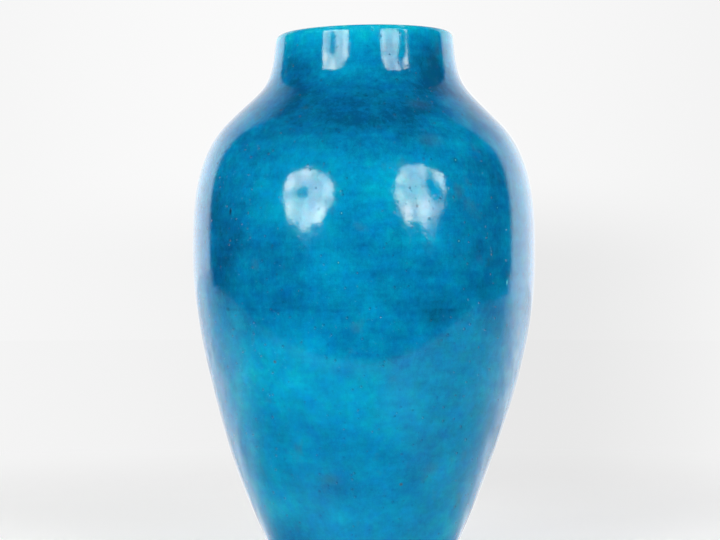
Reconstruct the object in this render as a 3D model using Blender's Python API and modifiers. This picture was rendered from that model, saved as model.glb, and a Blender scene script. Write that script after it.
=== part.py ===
"""Ovoid vase: a tall thrown clay vessel under a poured turquoise glaze.

The clay is thrown in three sections that are luted together with slip over V-shaped seams, and
stands on a turned foot ring. Two coats of glaze cover it: one poured inside, one over the
outside and round the lip. Every piece is turned about the Z axis, and the foot stands on Z = 0.

All the pieces follow one outline: the glazed outer surface, run from the lip down to the foot.
A piece lies at its own depth under that surface, measured square to it.
"""

import math

import bpy
from mathutils import Vector

# Outline of the glazed outer surface, in metres: radii, and the rise from one station to the next
FOOT_RADIUS = 0.0530  # glazed surface carried down to the table
WAIST_RADIUS = 0.0617  # where the body stops narrowing and turns down to the foot
BELLY_RADIUS = 0.1016
SHOULDER_RADIUS = 0.0815
LIP_RADIUS = 0.0528
WAIST_HEIGHT = 0.0300  # from the table
BELLY_RISE = 0.1578  # from the waist
SHOULDER_RISE = 0.0782  # from the belly
NECK_RISE = 0.0550  # from the shoulder to the top of the lip

# Lean of the outline at its stations, from the vertical
LIP_LEAN = math.radians(5.0)  # the neck widens downwards
SHOULDER_LEAN = math.radians(44.2)
WAIST_LEAN = math.radians(24.1)  # the body narrows downwards
FOOT_LEAN = math.radians(3.0)

# Fullness of each curve at its upper and lower end, as a share of the straight line between them
NECK_FULLNESS = (0.51, 0.52)
SHOULDER_FULLNESS = (0.36, 0.29)
BODY_FULLNESS = (0.34, 0.20)
FOOT_FULLNESS = (0.34, 0.34)

# Walls, coats and seams
LIP_WALL = 0.0034  # clay at the lip
FOOT_WALL = 0.0085  # clay where the wall meets the table, were it carried down there
FLOOR_WALL = 0.0090  # clay floor
FLOOR_ROUND = 0.0220  # radius inside, between floor and wall
GLAZE = 0.0008  # each coat
LUTE = 0.0008  # layer of slip in a seam
TONGUE = 0.0020  # depth of the V in a seam
GAP = 0.0003  # left between pieces that touch

BELLY_SEAM_DROP = 0.0348  # below the belly station
NECK_SEAM_RISE = 0.0220  # above the shoulder station

# Foot
FOOT_HEIGHT = 0.0070
FOOT_WIDTH = 0.0090
FOOT_BEVEL = 0.0010
BARE_FOOT = 0.0040  # unglazed clay above the table

# Fineness of the surfaces
TURNS = 40
CURVE_STEPS = (5, 7, 7, 3)  # along the neck, the shoulder, the body and the foot
LIP_STEPS = 3  # from the top of the lip to either side
FLOOR_STEPS = 4

# Depths under the glazed surface, and heights, that follow from the sizes
CLAY_DEPTH = GLAZE + GAP
SEAM = LUTE + 2 * GAP
LIP_ROUND = (2 * CLAY_DEPTH + LIP_WALL) / 2
BELLY_HEIGHT = WAIST_HEIGHT + BELLY_RISE
SHOULDER_HEIGHT = BELLY_HEIGHT + SHOULDER_RISE
HEIGHT = SHOULDER_HEIGHT + NECK_RISE
BELLY_SEAM_HEIGHT = BELLY_HEIGHT - BELLY_SEAM_DROP
NECK_SEAM_HEIGHT = SHOULDER_HEIGHT + NECK_SEAM_RISE
UNDERSIDE = FOOT_HEIGHT + SEAM
CLAY_FLOOR = UNDERSIDE + FLOOR_WALL
GLAZED_FLOOR = CLAY_FLOOR + GAP + GLAZE
FOOT_BORE = FOOT_RADIUS - CLAY_DEPTH - FOOT_WIDTH

RIGHT_ANGLE = math.radians(90)
NEAR_SEAM = 0.004  # a station this close to a seam is left out
HALVINGS = 50  # in the search for a station
WELD = 0.00001  # distance at which the turned surface closes on itself


def remove_everything():
    for old in list(bpy.data.objects):
        bpy.data.objects.remove(old)


def fired_material(name, colour, roughness):
    material = bpy.data.materials.new(name)
    material.use_nodes = True
    shader = material.node_tree.nodes["Principled BSDF"]
    shader.inputs["Base Color"].default_value = (*colour, 1)
    shader.inputs["Roughness"].default_value = roughness
    shader.inputs["Metallic"].default_value = 0
    return material


# Outline

def heading_down(lean):
    """Unit step down the outline that leans outwards by this angle."""
    return Vector((math.sin(lean), -math.cos(lean)))


def outline_curves():
    """Four Bezier curves, each as its four points, from the lip to the foot."""
    lip_height = HEIGHT - LIP_ROUND * (1 - math.sin(LIP_LEAN))
    stations = [
        (Vector((LIP_RADIUS, lip_height)), heading_down(LIP_LEAN)),
        (Vector((SHOULDER_RADIUS, SHOULDER_HEIGHT)), heading_down(SHOULDER_LEAN)),
        (Vector((BELLY_RADIUS, BELLY_HEIGHT)), heading_down(0)),
        (Vector((WAIST_RADIUS, WAIST_HEIGHT)), heading_down(-WAIST_LEAN)),
        (Vector((FOOT_RADIUS, 0)), heading_down(-FOOT_LEAN)),
    ]
    fullness = [NECK_FULLNESS, SHOULDER_FULLNESS, BODY_FULLNESS, FOOT_FULLNESS]
    curves = []
    for (start, leaving), (end, arriving), pull in zip(stations, stations[1:], fullness):
        span = (end - start).length
        curves.append((start, start + leaving * span * pull[0], end - arriving * span * pull[1], end))
    return curves


CURVES = outline_curves()


def outline(t):
    """Point and outward direction at t, which runs from 0 at the lip to 4 at the foot."""
    which = min(int(t), len(CURVES) - 1)
    a, b, c, d = CURVES[which]
    u = t - which
    point = a * (1 - u) ** 3 + b * 3 * u * (1 - u) ** 2 + c * 3 * u * u * (1 - u) + d * u ** 3
    slope = (b - a) * (1 - u) ** 2 + (c - b) * 2 * u * (1 - u) + (d - c) * u * u
    slope.normalize()
    return point, Vector((-slope.y, slope.x))


def at_depth(t, depth, down=0):
    """Point this deep under the glazed surface, and moved down along it."""
    point, outward = outline(t)
    return point - outward * depth + Vector((outward.y, -outward.x)) * down


def find_station(reached):
    """The t at which reached(t), true near the foot and false near the lip, changes."""
    low, high = 0.0, float(len(CURVES))
    for _ in range(HALVINGS):
        middle = (low + high) / 2
        if reached(middle):
            high = middle
        else:
            low = middle
    return high


def at_height(height, depth=CLAY_DEPTH):
    return find_station(lambda t: at_depth(t, depth).y < height)


def clay_inside(t):
    """Depth of the clay's inner face: the wall thickens from the lip to the foot."""
    share = max(0.0, outline(t)[0].y) / HEIGHT
    return CLAY_DEPTH + FOOT_WALL + (LIP_WALL - FOOT_WALL) * share


def glazed_inside(t):
    return clay_inside(t) + GAP + GLAZE


NECK_SEAM = at_height(NECK_SEAM_HEIGHT)
BELLY_SEAM = at_height(BELLY_SEAM_HEIGHT)
FOOT_SEAM = at_height(FOOT_HEIGHT)
GLAZE_EDGE = at_height(BARE_FOOT)
FLOOR_STATION = find_station(
    lambda t: at_depth(t, glazed_inside(t) + FLOOR_ROUND).y - FLOOR_ROUND < GLAZED_FLOOR
)


def all_stations():
    """Every t that the surfaces share, so that neighbours keep their gap between the corners too."""
    seams = [NECK_SEAM, BELLY_SEAM, FOOT_SEAM, GLAZE_EDGE]
    kept = []
    for which, steps in enumerate(CURVE_STEPS):
        for step in range(steps):
            t = which + step / steps
            near = any((outline(t)[0] - outline(s)[0]).length < NEAR_SEAM for s in seams)
            if not near:
                kept.append(t)
    return sorted(kept + seams)


STATIONS = all_stations()


def between(start, end):
    """Stations inside this stretch of the outline, well clear of its ends."""
    clear = NEAR_SEAM / 2
    first, last = outline(start)[0], outline(end)[0]
    return [
        t
        for t in STATIONS
        if start < t < end
        and (outline(t)[0] - first).length > clear
        and (outline(t)[0] - last).length > clear
    ]


# Parts of a profile

def arc(centre, radius, start, end, steps):
    turns = [start + (end - start) * i / steps for i in range(steps + 1)]
    return [centre + Vector((math.cos(a), math.sin(a))) * radius for a in turns]


def lip_arc(depth):
    """Half round over the lip, from inside to outside, with a point at its very top."""
    centre = at_depth(0, LIP_ROUND)
    radius = LIP_ROUND - depth
    inner = arc(centre, radius, LIP_LEAN + 2 * RIGHT_ANGLE, RIGHT_ANGLE, LIP_STEPS)
    outer = arc(centre, radius, RIGHT_ANGLE, LIP_LEAN, LIP_STEPS)
    return [*inner, *outer[1:]]


def floor_arc(depth):
    """Floor at the axis, then the round up to the wall, this far under the inner glaze."""
    centre = at_depth(FLOOR_STATION, glazed_inside(FLOOR_STATION) + FLOOR_ROUND)
    outward = outline(FLOOR_STATION)[1]
    wall_turn = math.atan2(outward.y, outward.x)
    radius = FLOOR_ROUND + depth
    round_part = arc(centre, radius, -RIGHT_ANGLE, wall_turn, FLOOR_STEPS)
    return [Vector((0, centre.y - radius))] + round_part


def seam_line(t, down):
    """V across the wall at a seam, from its outer face to its inner face."""
    outer = at_depth(t, CLAY_DEPTH, down)
    inner = at_depth(t, clay_inside(t), down)
    middle = at_depth(t, (CLAY_DEPTH + clay_inside(t)) / 2, down + TONGUE)
    return [outer, middle, inner]


def foot_seam_line(height):
    """The same V, level, where the foot ring meets the floor."""
    outer = at_depth(at_height(height), CLAY_DEPTH)
    outer.y = height
    inner = Vector((FOOT_BORE, height))
    middle = (outer + inner) / 2 - Vector((0, TONGUE))
    return [outer, middle, inner]


# Pieces, each as the profile that is turned: down its outer side and up its inner side

def foot_ring_profile():
    outer, middle, inner = foot_seam_line(FOOT_HEIGHT)
    bevel_top = at_height(FOOT_BEVEL)
    side = [at_depth(t, CLAY_DEPTH) for t in between(FOOT_SEAM, bevel_top)]
    corner = at_depth(bevel_top, CLAY_DEPTH)
    base = [
        corner,
        Vector((corner.x - FOOT_BEVEL, 0)),
        Vector((FOOT_BORE + FOOT_BEVEL, 0)),
        Vector((FOOT_BORE, FOOT_BEVEL)),
    ]
    return [outer, *side, *base, inner, middle]


def foot_lute_profile():
    above = foot_seam_line(FOOT_HEIGHT + GAP + LUTE)
    below = foot_seam_line(FOOT_HEIGHT + GAP)
    return [above[0], *below, above[2], above[1]]


def seam_lute_profile(seam):
    above = seam_line(seam, -LUTE / 2)
    below = seam_line(seam, LUTE / 2)
    return [above[0], *below, above[2], above[1]]


def lower_section_profile():
    inner_wall = [at_depth(t, clay_inside(t)) for t in reversed(between(BELLY_SEAM, FLOOR_STATION))]
    seam = seam_line(BELLY_SEAM, SEAM / 2)
    outer_wall = [at_depth(t, CLAY_DEPTH) for t in between(BELLY_SEAM, at_height(UNDERSIDE))]
    floor = floor_arc(GLAZE + GAP)
    underside = [*foot_seam_line(UNDERSIDE), Vector((0, UNDERSIDE))]
    return [*floor, *inner_wall, *reversed(seam), *outer_wall, *underside]


def upper_section_profile():
    stations = between(NECK_SEAM, BELLY_SEAM)
    top = seam_line(NECK_SEAM, SEAM / 2)
    bottom = seam_line(BELLY_SEAM, -SEAM / 2)
    outer = [at_depth(t, CLAY_DEPTH) for t in stations]
    inner = [at_depth(t, clay_inside(t)) for t in reversed(stations)]
    return [top[0], *outer, *bottom, *inner, top[2], top[1]]


def neck_collar_profile():
    stations = between(0, NECK_SEAM)
    bottom = seam_line(NECK_SEAM, -SEAM / 2)
    outer = [at_depth(t, CLAY_DEPTH) for t in stations]
    inner = [at_depth(t, clay_inside(t)) for t in reversed(stations)]
    return [*lip_arc(CLAY_DEPTH), *outer, *bottom, *inner]


def outer_glaze_profile():
    stations = between(0, GLAZE_EDGE)
    glazed = [at_depth(t, 0) for t in stations]
    against_clay = [at_depth(t, GLAZE) for t in reversed(stations)]
    rolled_edge = [
        at_depth(GLAZE_EDGE, 0),
        at_depth(GLAZE_EDGE, GLAZE / 2, GLAZE / 2),
        at_depth(GLAZE_EDGE, GLAZE),
    ]
    return [*lip_arc(0), *glazed, *rolled_edge, *against_clay, *reversed(lip_arc(GLAZE))]


def inner_glaze_profile():
    stations = between(0, FLOOR_STATION)
    glazed = [at_depth(t, glazed_inside(t)) for t in reversed(stations)]
    against_clay = [at_depth(t, clay_inside(t) + GAP) for t in stations]
    top = [at_depth(0, glazed_inside(0), GAP), at_depth(0, clay_inside(0) + GAP, GAP)]
    return [*floor_arc(0), *glazed, *top, *against_clay, *reversed(floor_arc(GLAZE))]


# Solids

def turned_piece(name, profile, seat, finish, collection, parent):
    """Solid of revolution about Z, with its origin on the axis at the height where it sits."""
    edges = [(i, i + 1) for i in range(len(profile) - 1)]
    meets_axis = min(profile[0].x, profile[-1].x) <= 0
    if not meets_axis:
        edges.append((len(profile) - 1, 0))
    mesh = bpy.data.meshes.new(name)
    mesh.from_pydata([(p.x, 0, p.y - seat) for p in profile], edges, [])
    mesh.materials.append(fired_material(name, *finish))
    piece = bpy.data.objects.new(name, mesh)
    collection.objects.link(piece)
    piece.location = (0, 0, seat)
    piece.parent = parent

    screw = piece.modifiers.new("Turned", "SCREW")
    screw.axis = "Z"
    screw.angle = math.radians(360)
    screw.steps = TURNS
    screw.render_steps = TURNS
    screw.use_merge_vertices = True
    screw.merge_threshold = WELD
    screw.use_smooth_shade = True
    return piece


def build_vase():
    remove_everything()
    collection = bpy.data.collections.new("ovoid_vase")
    bpy.context.scene.collection.children.link(collection)
    vase = bpy.data.objects.new("vase_axis", None)
    collection.objects.link(vase)

    clay = (0.72, 0.64, 0.52), 0.85
    slip = (0.60, 0.50, 0.38), 0.9
    turquoise = (0.0, 0.26, 0.50), 0.1
    lining = (0.0, 0.30, 0.46), 0.12

    pieces = [
        ("foot_ring", foot_ring_profile(), 0, clay),
        ("foot_lute", foot_lute_profile(), FOOT_HEIGHT, slip),
        ("lower_section", lower_section_profile(), UNDERSIDE, clay),
        ("belly_lute", seam_lute_profile(BELLY_SEAM), BELLY_SEAM_HEIGHT, slip),
        ("upper_section", upper_section_profile(), BELLY_SEAM_HEIGHT, clay),
        ("neck_lute", seam_lute_profile(NECK_SEAM), NECK_SEAM_HEIGHT, slip),
        ("neck_collar", neck_collar_profile(), NECK_SEAM_HEIGHT, clay),
        ("inner_glaze", inner_glaze_profile(), GLAZED_FLOOR, lining),
        ("outer_glaze", outer_glaze_profile(), BARE_FOOT, turquoise),
    ]
    for name, profile, seat, finish in pieces:
        turned_piece(name, profile, seat, finish, collection, vase)


build_vase()
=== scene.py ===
import math

import bmesh
import bpy
import numpy as np
from mathutils import Matrix, Vector, noise


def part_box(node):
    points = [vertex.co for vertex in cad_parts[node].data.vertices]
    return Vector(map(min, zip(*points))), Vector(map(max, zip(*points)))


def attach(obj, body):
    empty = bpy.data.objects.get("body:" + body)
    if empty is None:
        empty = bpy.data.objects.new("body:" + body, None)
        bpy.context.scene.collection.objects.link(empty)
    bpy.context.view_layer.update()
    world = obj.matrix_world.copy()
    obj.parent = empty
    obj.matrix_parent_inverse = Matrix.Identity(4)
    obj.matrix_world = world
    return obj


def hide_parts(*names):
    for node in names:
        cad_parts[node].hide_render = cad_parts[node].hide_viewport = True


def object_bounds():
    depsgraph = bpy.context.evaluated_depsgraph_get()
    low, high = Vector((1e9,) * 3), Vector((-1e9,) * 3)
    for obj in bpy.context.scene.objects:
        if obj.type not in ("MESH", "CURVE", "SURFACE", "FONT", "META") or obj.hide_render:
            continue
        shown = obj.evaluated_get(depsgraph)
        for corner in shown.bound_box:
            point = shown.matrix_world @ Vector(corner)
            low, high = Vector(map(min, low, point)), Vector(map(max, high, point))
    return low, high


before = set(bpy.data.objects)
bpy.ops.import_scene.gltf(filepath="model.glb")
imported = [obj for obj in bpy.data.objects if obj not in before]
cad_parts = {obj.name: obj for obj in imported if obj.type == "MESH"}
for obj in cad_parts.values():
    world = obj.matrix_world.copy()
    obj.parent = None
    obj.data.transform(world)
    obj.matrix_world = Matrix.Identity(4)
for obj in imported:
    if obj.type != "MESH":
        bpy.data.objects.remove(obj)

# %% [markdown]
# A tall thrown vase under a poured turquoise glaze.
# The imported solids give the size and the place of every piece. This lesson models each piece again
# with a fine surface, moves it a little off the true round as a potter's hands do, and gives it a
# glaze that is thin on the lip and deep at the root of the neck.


def in_mm(values, digits=1):
    return [round(value * 1000, digits) for value in values]


solid_low, solid_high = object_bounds()
print("box of the solids, mm:", in_mm((*solid_low, *solid_high)))

# %% [markdown]
# All pieces of the vase follow one outline, the glazed outer surface run from the lip to the foot.
# It could be a list of measured points, but four Bezier curves between five stations are smoother
# and easier to change. Each station has a radius, a height and a lean from the vertical. The top
# and the widest radius are read from the box of the solids.

# %% Stations of the outline, in metres
TOP = solid_high.z
BELLY_RADIUS = solid_high.x
FOOT_RADIUS = 0.0530
WAIST_RADIUS = 0.0617
SHOULDER_RADIUS = 0.0815
LIP_RADIUS = 0.0528
WAIST_HEIGHT = 0.0300
BELLY_HEIGHT = 0.1878
SHOULDER_HEIGHT = 0.2660

LIP_LEAN = math.radians(5.0)
SHOULDER_LEAN = math.radians(44.2)
WAIST_LEAN = math.radians(24.1)
FOOT_LEAN = math.radians(3.0)

NECK_FULLNESS = (0.54, 0.55)
SHOULDER_FULLNESS = (0.36, 0.29)
BODY_FULLNESS = (0.34, 0.20)
FOOT_FULLNESS = (0.34, 0.34)

# %% Walls, coats and seams, in metres
LIP_WALL = 0.0034
FOOT_WALL = 0.0085
FLOOR_WALL = 0.0090
FLOOR_ROUND = 0.0220
GLAZE = 0.0008
LUTE = 0.0008
TONGUE = 0.0020
GAP = 0.0003

FOOT_HEIGHT = 0.0070
FOOT_WIDTH = 0.0090
FOOT_BEVEL = 0.0010
BARE_FOOT = 0.0040

CLAY_DEPTH = GLAZE + GAP
SEAM = LUTE + 2 * GAP
LIP_THICK = 2 * CLAY_DEPTH + LIP_WALL
LIP_ROUND = 0.0037
UNDERSIDE = FOOT_HEIGHT + SEAM
GLAZED_FLOOR = UNDERSIDE + FLOOR_WALL + GAP + GLAZE
FOOT_BORE = FOOT_RADIUS - CLAY_DEPTH - FOOT_WIDTH
BELLY_SEAM_HEIGHT = 0.1530
NECK_SEAM_HEIGHT = 0.2880
RIGHT_ANGLE = math.radians(90)

belly_lute_low, belly_lute_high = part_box("belly_lute")
neck_lute_low, neck_lute_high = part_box("neck_lute")
foot_low, foot_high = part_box("foot_ring")
print("foot ring of the solids, mm:", in_mm((foot_low.z, foot_high.z)))
print("slip in the belly seam, mm:", in_mm((belly_lute_low.z, belly_lute_high.z)))
print("slip in the neck seam, mm:", in_mm((neck_lute_low.z, neck_lute_high.z)))

# %% [markdown]
# The rim of the real vase isn't level. Seen from the front, its right side stands about two
# millimetres higher than its left. The solids are level and as tall as the higher side, so the
# curve here ends lower by half of that, and the tilt then lifts one side and drops the other.

# %% The outline as four curves
RIM_TILT = math.radians(1.09)
RIM_DROP = (LIP_RADIUS - LIP_ROUND) * math.tan(RIM_TILT)
RIM_HEIGHT = TOP - RIM_DROP
HALVINGS = 50


def heading_down(lean):
    """Unit step down the outline where it leans outwards by this angle."""
    return Vector((math.sin(lean), -math.cos(lean)))


def outline_curves():
    lip_height = RIM_HEIGHT - LIP_ROUND * (1 - math.sin(LIP_LEAN))
    stops = [
        (Vector((LIP_RADIUS, lip_height)), heading_down(LIP_LEAN)),
        (Vector((SHOULDER_RADIUS, SHOULDER_HEIGHT)), heading_down(SHOULDER_LEAN)),
        (Vector((BELLY_RADIUS, BELLY_HEIGHT)), heading_down(0)),
        (Vector((WAIST_RADIUS, WAIST_HEIGHT)), heading_down(-WAIST_LEAN)),
        (Vector((FOOT_RADIUS, 0)), heading_down(-FOOT_LEAN)),
    ]
    fullness = [NECK_FULLNESS, SHOULDER_FULLNESS, BODY_FULLNESS, FOOT_FULLNESS]
    curves = []
    for (start, leaving), (end, arriving), pull in zip(stops, stops[1:], fullness):
        span = (end - start).length
        curves.append((start, start + leaving * span * pull[0], end - arriving * span * pull[1], end))
    return curves


CURVES = outline_curves()


def outline(t):
    """Point and outward direction at t, from 0 at the lip to 4 at the foot."""
    which = min(int(t), len(CURVES) - 1)
    a, b, c, d = CURVES[which]
    u = t - which
    point = a * (1 - u) ** 3 + b * 3 * u * (1 - u) ** 2 + c * 3 * u * u * (1 - u) + d * u ** 3
    slope = (b - a) * (1 - u) ** 2 + (c - b) * 2 * u * (1 - u) + (d - c) * u * u
    slope.normalize()
    return point, Vector((-slope.y, slope.x))


def under(t, depth, down=0):
    """Point this deep under the glazed surface, moved down along it."""
    point, outward = outline(t)
    return point - outward * depth + Vector((outward.y, -outward.x)) * down


def find_t(reached):
    """The t at which reached(t) turns true on the way from the lip to the foot."""
    low, high = 0.0, float(len(CURVES))
    for _ in range(HALVINGS):
        middle = (low + high) / 2
        if reached(middle):
            high = middle
        else:
            low = middle
    return high


def at_height(height, depth=CLAY_DEPTH):
    return find_t(lambda t: under(t, depth).y < height)


print("height of the rim and drop of its low side, mm:", in_mm((RIM_HEIGHT, RIM_DROP), 2))

# %% How well the curves follow the solids
corners = np.array([v.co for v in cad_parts["outer_glaze"].data.vertices])
radii = np.hypot(corners[:, 0], corners[:, 1])
level = (corners[:, 2] > BARE_FOOT + GLAZE) & (corners[:, 2] < SHOULDER_HEIGHT)
worst = 0.0
for radius, height in zip(radii[level], corners[level, 2]):
    point, outward = outline(at_height(height, 0))
    away = abs(point.x - radius) * math.cos(math.atan2(outward.y, outward.x))
    if away < GLAZE / 2:
        worst = max(worst, away)
print("outer surface of the solids lies within this of the curves, mm:", in_mm((worst,), 3))

# %% [markdown]
# The clay wall is thin at the lip and thick at the foot, as on any pot pulled up on a wheel. Each
# surface is given by its depth under the glaze, so the walls stay even where the outline bends.

# %% Depths of the surfaces, and the places of the seams
FINE_STEPS = 2000


def clay_inside(t):
    share = max(0.0, outline(t)[0].y) / RIM_HEIGHT
    return CLAY_DEPTH + FOOT_WALL + (LIP_WALL - FOOT_WALL) * share


def glazed_inside(t):
    return clay_inside(t) + GAP + GLAZE


NECK_SEAM = at_height(NECK_SEAM_HEIGHT)
BELLY_SEAM = at_height(BELLY_SEAM_HEIGHT)
FOOT_SEAM = at_height(FOOT_HEIGHT)
GLAZE_EDGE = at_height(BARE_FOOT)
FLOOR_T = find_t(lambda t: under(t, glazed_inside(t) + FLOOR_ROUND).y - FLOOR_ROUND < GLAZED_FLOOR)


def steps_along(start, end, spacing):
    """Values of t between start and end, about this far apart along the outline."""
    fine = [start + (end - start) * i / FINE_STEPS for i in range(FINE_STEPS + 1)]
    places = [outline(t)[0] for t in fine]
    length = sum((b - a).length for a, b in zip(places, places[1:]))
    count = max(2, round(length / spacing))
    kept, travelled = [], 0.0
    for t, a, b in zip(fine[1:], places, places[1:]):
        travelled += (b - a).length
        if travelled >= length / count * (len(kept) + 1) and len(kept) < count - 1:
            kept.append(t)
    return kept


print("seams at t", [round(t, 3) for t in (NECK_SEAM, BELLY_SEAM, FOOT_SEAM, GLAZE_EDGE)])

# %% [markdown]
# A profile is a list of points in the plane of the axis. The round of the lip, the round between
# floor and wall and the V-shaped seams are short helpers, because several pieces share them.
# A thrower rolls the lip over from the outside, so its outer half is a wide quarter of a circle
# and its inner half a narrow quarter of an ellipse.

# %% Rounds and seams of the profiles
def arc(centre, radius, start, end, steps):
    turns = [start + (end - start) * i / steps for i in range(steps + 1)]
    return [centre + Vector((math.cos(a), math.sin(a))) * radius for a in turns]


def lip_arc(depth, steps=9):
    """Half round over the lip, from inside to outside, with a point at its very top."""
    centre = under(0, LIP_ROUND)
    tall = LIP_ROUND - depth
    narrow = LIP_THICK - LIP_ROUND - depth
    sweep = RIGHT_ANGLE + LIP_LEAN
    inner = []
    for i in range(steps):
        share = RIGHT_ANGLE * (1 - i / steps)
        reach = 1 / math.hypot(math.sin(share) / narrow, math.cos(share) / tall)
        angle = RIGHT_ANGLE + sweep * (1 - i / steps)
        inner.append(centre + Vector((math.cos(angle), math.sin(angle))) * reach)
    return [*inner, *arc(centre, tall, RIGHT_ANGLE, LIP_LEAN, steps)]


def floor_arc(depth, steps=14, floor_steps=10):
    """Floor at the axis, then the round up to the wall, this far under the inner glaze."""
    centre = under(FLOOR_T, glazed_inside(FLOOR_T) + FLOOR_ROUND)
    outward = outline(FLOOR_T)[1]
    round_part = arc(centre, FLOOR_ROUND + depth, -RIGHT_ANGLE, math.atan2(outward.y, outward.x), steps)
    edge = round_part[0]
    return [Vector((edge.x * i / floor_steps, edge.y)) for i in range(floor_steps)] + round_part


def seam_line(t, down):
    middle = under(t, (CLAY_DEPTH + clay_inside(t)) / 2, down + TONGUE)
    return [under(t, CLAY_DEPTH, down), middle, under(t, clay_inside(t), down)]


def foot_seam_line(height):
    outer = under(at_height(height), CLAY_DEPTH)
    outer.y = height
    inner = Vector((FOOT_BORE, height))
    return [outer, (outer + inner) / 2 - Vector((0, TONGUE)), inner]


# %% [markdown]
# The solids need few faces, but a glossy surface shows every flat. So the outer glaze gets a row
# and a column about every two millimetres, which is just under 200,000 triangles.

# %% Profiles of the glaze coats
OUTER_ROW = 0.0018
HIDDEN_ROW = 0.0068
INNER_ROW = 0.0026
RING_DEPTH = 0.00022
RING_PITCH = 0.0062
RING_DRIFT = 0.35
DRIFT_SIZE = 0.018


def outer_glaze_profile():
    glazed = [under(t, 0) for t in steps_along(0, GLAZE_EDGE, OUTER_ROW)]
    against_clay = [under(t, GLAZE) for t in reversed(steps_along(0, GLAZE_EDGE, HIDDEN_ROW))]
    roll_centre = under(GLAZE_EDGE, GLAZE / 2)
    outward = outline(GLAZE_EDGE)[1]
    facing = math.atan2(outward.y, outward.x)
    rolled_edge = arc(roll_centre, GLAZE / 2, facing, facing - 2 * RIGHT_ANGLE, 6)
    return [*lip_arc(0), *glazed, *rolled_edge, *against_clay, *reversed(lip_arc(GLAZE, 5))]


def throwing_ring(height):
    """Depth of the shallow spiral that a thrower's fingers leave inside."""
    drift = RING_DRIFT * noise.noise(Vector((0.3, 0.7, height / DRIFT_SIZE)))
    return RING_DEPTH * math.sin(2 * math.pi * (height / RING_PITCH + drift))


def inner_glaze_profile():
    glazed = []
    for t in reversed(steps_along(0, FLOOR_T, INNER_ROW)):
        place = under(t, glazed_inside(t))
        glazed.append(under(t, glazed_inside(t) + throwing_ring(place.y)))
    against_clay = [under(t, clay_inside(t) + GAP) for t in steps_along(0, FLOOR_T, HIDDEN_ROW)]
    clear = GAP / 10
    top = [under(0, glazed_inside(0), clear), under(0, clay_inside(0) + GAP, clear)]
    return [*floor_arc(0), *glazed, *top, *against_clay, *reversed(floor_arc(GLAZE))]


print("rows of the coats:", len(outer_glaze_profile()), len(inner_glaze_profile()))

# %% [markdown]
# The clay hardly shows: only the foot ring and the underside are bare. The three sections, the foot
# and the slip in their seams are modelled all the same, because the pot is made of them. On a
# trimmed foot the tool leaves fine rings, so the underside gets a shallow ripple.

# %% Profiles of the clay and the slip
CLAY_ROW = 0.0050
TRIM_DEPTH = 0.00012
TRIM_PITCH = 0.0034
TRIM_STEPS = 48


def foot_ring_profile():
    outer, middle, inner = foot_seam_line(FOOT_HEIGHT)
    bevel_top = at_height(FOOT_BEVEL)
    side = [under(t, CLAY_DEPTH) for t in steps_along(FOOT_SEAM, bevel_top, FOOT_BEVEL)]
    corner = under(bevel_top, CLAY_DEPTH)
    outer_round = arc(Vector((corner.x - FOOT_BEVEL, FOOT_BEVEL)), FOOT_BEVEL, 0, -RIGHT_ANGLE, 5)
    inner_centre = Vector((FOOT_BORE + FOOT_BEVEL, FOOT_BEVEL))
    inner_round = arc(inner_centre, FOOT_BEVEL, -RIGHT_ANGLE, -2 * RIGHT_ANGLE, 5)
    bore = [Vector((FOOT_BORE, FOOT_BEVEL + (FOOT_HEIGHT - FOOT_BEVEL) * i / 4)) for i in (1, 2, 3)]
    return [outer, *side, *outer_round, *inner_round, *bore, inner, middle]


def ring_between(above, below):
    return [above[0], *below, above[2], above[1]]


def foot_lute_profile():
    return ring_between(foot_seam_line(FOOT_HEIGHT + GAP + LUTE), foot_seam_line(FOOT_HEIGHT + GAP))


def seam_lute_profile(seam):
    return ring_between(seam_line(seam, -LUTE / 2), seam_line(seam, LUTE / 2))


def trimmed_underside():
    """From the foot's bore to the axis, with the ripple that a trimming tool leaves."""
    made = []
    for i in range(1, TRIM_STEPS + 1):
        radius = FOOT_BORE * (1 - i / TRIM_STEPS)
        ripple = TRIM_DEPTH * (1 + math.sin(2 * math.pi * radius / TRIM_PITCH)) / 2
        made.append(Vector((radius, UNDERSIDE + ripple * min(1, radius / TRIM_PITCH))))
    return made


def wall_points(start, end, outer_end=None):
    """Points down the outside of a clay wall, and points up its inside."""
    outside = [under(t, CLAY_DEPTH) for t in steps_along(start, outer_end or end, CLAY_ROW)]
    inside = [under(t, clay_inside(t)) for t in reversed(steps_along(start, end, CLAY_ROW))]
    return outside, inside


def lower_section_profile():
    outside, inside = wall_points(BELLY_SEAM, FLOOR_T, at_height(UNDERSIDE))
    seam = reversed(seam_line(BELLY_SEAM, SEAM / 2))
    base = [*foot_seam_line(UNDERSIDE), *trimmed_underside()]
    return [*floor_arc(GLAZE + GAP), *inside, *seam, *outside, *base]


def upper_section_profile():
    outside, inside = wall_points(NECK_SEAM, BELLY_SEAM)
    top = seam_line(NECK_SEAM, SEAM / 2)
    bottom = seam_line(BELLY_SEAM, -SEAM / 2)
    return [top[0], *outside, *bottom, *inside, top[2], top[1]]


def neck_collar_profile():
    outside, inside = wall_points(0, NECK_SEAM)
    return [*lip_arc(CLAY_DEPTH), *outside, *seam_line(NECK_SEAM, -SEAM / 2), *inside]


print("points of the lower section's profile:", len(lower_section_profile()))

# %% [markdown]
# A pot made by hand isn't truly round. Seen from the front, the axis of this one wanders by about
# half a millimetre on its way up, and its rim is tilted. One function moves a point by all of this,
# and every piece goes through it, so the pieces still fit. Soft lumps, all inwards, bend the
# reflections as they do on the real glaze.

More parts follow.
